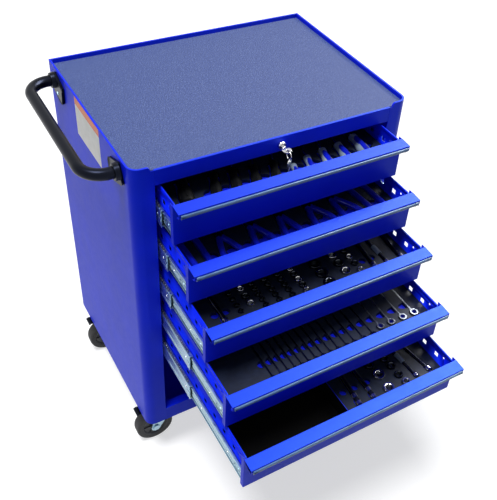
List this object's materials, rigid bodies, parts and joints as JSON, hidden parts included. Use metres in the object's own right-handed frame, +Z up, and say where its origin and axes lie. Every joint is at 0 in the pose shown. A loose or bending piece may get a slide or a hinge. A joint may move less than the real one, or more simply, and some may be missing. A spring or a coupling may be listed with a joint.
{
  "type": "tool cart",
  "caption": "Rolling tool cabinet with stacked drawers on ball-bearing slides, an open lower bay, a key lock, a side push handle and casters.",
  "frame": {"origin": "middle of the outline on the floor, with the drawers part open as in the rest pose", "axes": "+Z up, the drawers open towards -Y, +X to the right of a person facing the front; the handle is on the -X side"},
  "size_m": [0.764, 0.9208, 0.948],
  "materials": {
    "blue_paint": "glossy royal blue powder coat",
    "zinc": "zinc-plated steel",
    "chrome": "bright nickel plate",
    "black_paint": "satin black powder coat",
    "rubber_mat": "speckled grey-blue rubber",
    "trim_plastic": "satin grey-blue strip",
    "foam": "fine-cell black foam",
    "tyre": "matte black rubber tread"
  },
  "bodies": {
    "cabinet": {"left_side_panel": "blue_paint", "right_side_panel": "blue_paint", "back_panel": "blue_paint", "deck_panel": "blue_paint", "top_mat": "rubber_mat", "top_rail": "blue_paint", "floor_panel": "blue_paint", "left_slide_frame": "zinc", "right_slide_frame": "zinc", "handle_tube": "black_paint", "handle_bracket_front": "black_paint", "handle_bracket_rear": "black_paint", "lock_housing": "chrome", "caster_front_left_plate": "zinc", "caster_rear_left_plate": "zinc", "caster_front_right_fork": "zinc", "caster_rear_right_fork": "zinc"},
    "drawer_1": {"drawer_1_box": "blue_paint", "drawer_1_front": "blue_paint", "drawer_1_pull_trim": "trim_plastic", "drawer_1_tool_inlay": "foam"},
    "drawer_1_slide_middles": {"drawer_1_slide_middle_left": "zinc", "drawer_1_slide_middle_right": "zinc"},
    "drawer_2": {"drawer_2_box": "blue_paint", "drawer_2_front": "blue_paint", "drawer_2_pull_trim": "trim_plastic", "drawer_2_tool_inlay": "foam"},
    "drawer_2_slide_middles": {"drawer_2_slide_middle_left": "zinc", "drawer_2_slide_middle_right": "zinc"},
    "drawer_3": {"drawer_3_box": "blue_paint", "drawer_3_front": "blue_paint", "drawer_3_pull_trim": "trim_plastic", "drawer_3_tool_inlay": "foam"},
    "drawer_3_slide_middles": {"drawer_3_slide_middle_left": "zinc", "drawer_3_slide_middle_right": "zinc"},
    "drawer_4": {"drawer_4_box": "blue_paint", "drawer_4_front": "blue_paint", "drawer_4_pull_trim": "trim_plastic", "drawer_4_tool_inlay": "foam"},
    "drawer_4_slide_middles": {"drawer_4_slide_middle_left": "zinc", "drawer_4_slide_middle_right": "zinc"},
    "drawer_5": {"drawer_5_box": "blue_paint", "drawer_5_front": "blue_paint", "drawer_5_pull_trim": "trim_plastic", "drawer_5_tool_inlay": "foam", "drawer_5_mat": "foam", "drawer_5_divider": "blue_paint"},
    "drawer_5_slide_middles": {"drawer_5_slide_middle_left": "zinc", "drawer_5_slide_middle_right": "zinc"},
    "lock_key": {"lock_key": "chrome"},
    "key_ring": {"key_ring": "chrome"},
    "lock_bar": {"lock_bar": "zinc"},
    "caster_front_left_swivel": {"caster_front_left_fork": "zinc"},
    "caster_front_left_wheel": {"caster_front_left_wheel": "tyre"},
    "caster_front_left_pedal": {"caster_front_left_brake_pedal": "black_paint"},
    "caster_rear_left_swivel": {"caster_rear_left_fork": "zinc"},
    "caster_rear_left_wheel": {"caster_rear_left_wheel": "tyre"},
    "caster_rear_left_pedal": {"caster_rear_left_brake_pedal": "black_paint"},
    "caster_front_right_wheel": {"caster_front_right_wheel": "tyre"},
    "caster_rear_right_wheel": {"caster_rear_right_wheel": "tyre"}
  },
  "joints": [
    {"name": "drawer_1_slide", "type": "slide", "parent": "cabinet", "child": "drawer_1", "axis": [0, -1, 0], "range_m": [-0.068, 0.357]},
    {"name": "drawer_1_middles_slide", "type": "slide", "parent": "cabinet", "child": "drawer_1_slide_middles", "axis": [0, -1, 0], "range_m": [-0.03196, 0.16692]},
    {"name": "drawer_2_slide", "type": "slide", "parent": "cabinet", "child": "drawer_2", "axis": [0, -1, 0], "range_m": [-0.1365, 0.2885]},
    {"name": "drawer_2_middles_slide", "type": "slide", "parent": "cabinet", "child": "drawer_2_slide_middles", "axis": [0, -1, 0], "range_m": [-0.05412, 0.11416]},
    {"name": "drawer_3_slide", "type": "slide", "parent": "cabinet", "child": "drawer_3", "axis": [0, -1, 0], "range_m": [-0.2143, 0.2107]},
    {"name": "drawer_3_middles_slide", "type": "slide", "parent": "cabinet", "child": "drawer_3_slide_middles", "axis": [0, -1, 0], "range_m": [-0.06428, 0.0632]},
    {"name": "drawer_4_slide", "type": "slide", "parent": "cabinet", "child": "drawer_4", "axis": [0, -1, 0], "range_m": [-0.3079, 0.1171]},
    {"name": "drawer_4_middles_slide", "type": "slide", "parent": "cabinet", "child": "drawer_4_slide_middles", "axis": [0, -1, 0], "range_m": [-0.15938, 0.06074]},
    {"name": "drawer_5_slide", "type": "slide", "parent": "cabinet", "child": "drawer_5", "axis": [0, -1, 0], "range_m": [-0.3941, 0.0309]},
    {"name": "drawer_5_middles_slide", "type": "slide", "parent": "cabinet", "child": "drawer_5_slide_middles", "axis": [0, -1, 0], "range_m": [-0.15705, 0.0125]},
    {"name": "lock_turn", "type": "hinge", "parent": "cabinet", "child": "lock_key", "pos_m": [0.042, -0.0346, 0.919], "axis": [0, 1, 0], "range_deg": [0, 90]},
    {"name": "lock_bar_turn", "type": "hinge", "parent": "cabinet", "child": "lock_bar", "pos_m": [0.042, 0.4329, 0.7], "axis": [0, 0, 1], "range_deg": [-0.5, 45.5]},
    {"name": "key_ring_swing", "type": "hinge", "parent": "lock_key", "child": "key_ring", "pos_m": [0.042, -0.0697, 0.919], "axis": [1, 0, 0], "range_deg": [-30, 0]},
    {"name": "caster_front_left_swivel_turn", "type": "hinge", "parent": "cabinet", "child": "caster_front_left_swivel", "pos_m": [-0.226, 0.0299, 0.12], "axis": [0, 0, 1], "continuous": true},
    {"name": "caster_front_left_wheel_spin", "type": "hinge", "parent": "caster_front_left_swivel", "child": "caster_front_left_wheel", "pos_m": [-0.26, 0.0299, 0.051], "axis": [0, 1, 0], "continuous": true},
    {"name": "caster_front_left_pedal_press", "type": "hinge", "parent": "caster_front_left_swivel", "child": "caster_front_left_pedal", "pos_m": [-0.254, 0.0299, 0.108], "axis": [0, 1, 0], "range_deg": [-12, 0]},
    {"name": "caster_rear_left_swivel_turn", "type": "hinge", "parent": "cabinet", "child": "caster_rear_left_swivel", "pos_m": [-0.226, 0.3959, 0.12], "axis": [0, 0, 1], "continuous": true},
    {"name": "caster_rear_left_wheel_spin", "type": "hinge", "parent": "caster_rear_left_swivel", "child": "caster_rear_left_wheel", "pos_m": [-0.26, 0.3959, 0.051], "axis": [0, 1, 0], "continuous": true},
    {"name": "caster_rear_left_pedal_press", "type": "hinge", "parent": "caster_rear_left_swivel", "child": "caster_rear_left_pedal", "pos_m": [-0.254, 0.3959, 0.108], "axis": [0, 1, 0], "range_deg": [-12, 0]},
    {"name": "caster_front_right_wheel_spin", "type": "hinge", "parent": "cabinet", "child": "caster_front_right_wheel", "pos_m": [0.31, 0.0299, 0.051], "axis": [0, 1, 0], "continuous": true},
    {"name": "caster_rear_right_wheel_spin", "type": "hinge", "parent": "cabinet", "child": "caster_rear_right_wheel", "pos_m": [0.31, 0.3959, 0.051], "axis": [0, 1, 0], "continuous": true}
  ],
  "couplings": [
    {"joint": "drawer_1_middles_slide", "follows": "drawer_1_slide", "ratio": 0.467},
    {"joint": "drawer_2_middles_slide", "follows": "drawer_2_slide", "ratio": 0.395},
    {"joint": "drawer_3_middles_slide", "follows": "drawer_3_slide", "ratio": 0.299},
    {"joint": "drawer_4_middles_slide", "follows": "drawer_4_slide", "ratio": 0.517},
    {"joint": "drawer_5_middles_slide", "follows": "drawer_5_slide", "ratio": 0.398},
    {"joint": "lock_bar_turn", "follows": "lock_turn", "ratio": 0.5}
  ]
}
